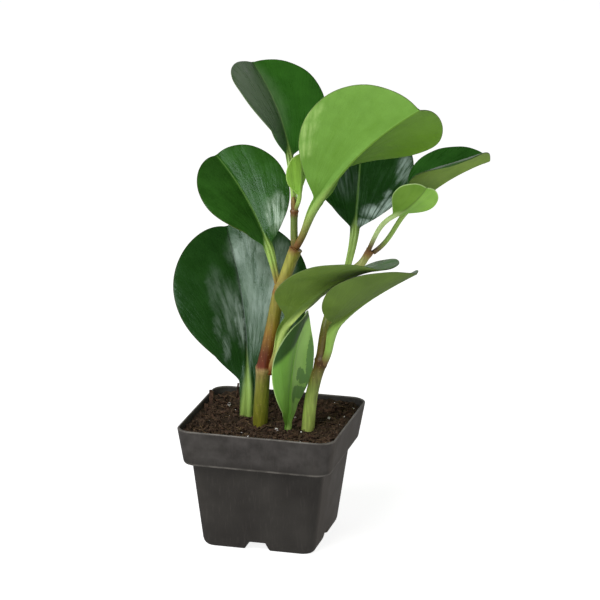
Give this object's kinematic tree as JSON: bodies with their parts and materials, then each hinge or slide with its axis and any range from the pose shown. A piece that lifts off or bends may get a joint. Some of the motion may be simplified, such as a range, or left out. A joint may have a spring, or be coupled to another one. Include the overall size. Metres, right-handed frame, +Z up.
{
  "type": "potted peperomia",
  "caption": "Potted peperomia: thick rounded leaves on jointed stems, rising from dark potting soil in a square tapered nursery pot with a deep rim band.",
  "frame": {"origin": "centre of the pot's base, on the surface that it stands on", "axes": "+Z up along the pot's axis, -Y the front face of the pot, +X to the right of that face"},
  "size_m": [0.1964, 0.1532, 0.3004],
  "materials": {
    "black_polypropylene": "satin moulded plastic",
    "peat_potting_mix": "loose peat, bark and perlite",
    "olive_stem": "smooth succulent stem, brown at the nodes",
    "green_stem": "smooth succulent stem, brown at the nodes",
    "dark_leaf": "waxy, half gloss",
    "young_leaf": "waxy, half gloss",
    "leaf_underside": "waxy above, satin beneath",
    "variegated_leaf": "waxy, pale green with dark patches"
  },
  "bodies": {
    "root": {"pot": "black_polypropylene", "soil": "peat_potting_mix", "left_stem": "olive_stem", "right_stem": "green_stem", "top_left_leaf": "dark_leaf", "top_young_leaf": "young_leaf", "top_right_leaf": "leaf_underside", "middle_left_leaf": "dark_leaf", "rear_ground_leaf": "dark_leaf", "rear_right_leaf": "dark_leaf", "far_right_leaf": "dark_leaf", "right_young_leaf": "young_leaf", "front_left_stem_leaf": "leaf_underside", "front_right_stem_leaf": "leaf_underside", "front_ground_leaf": "variegated_leaf"}
  },
  "joints": []
}
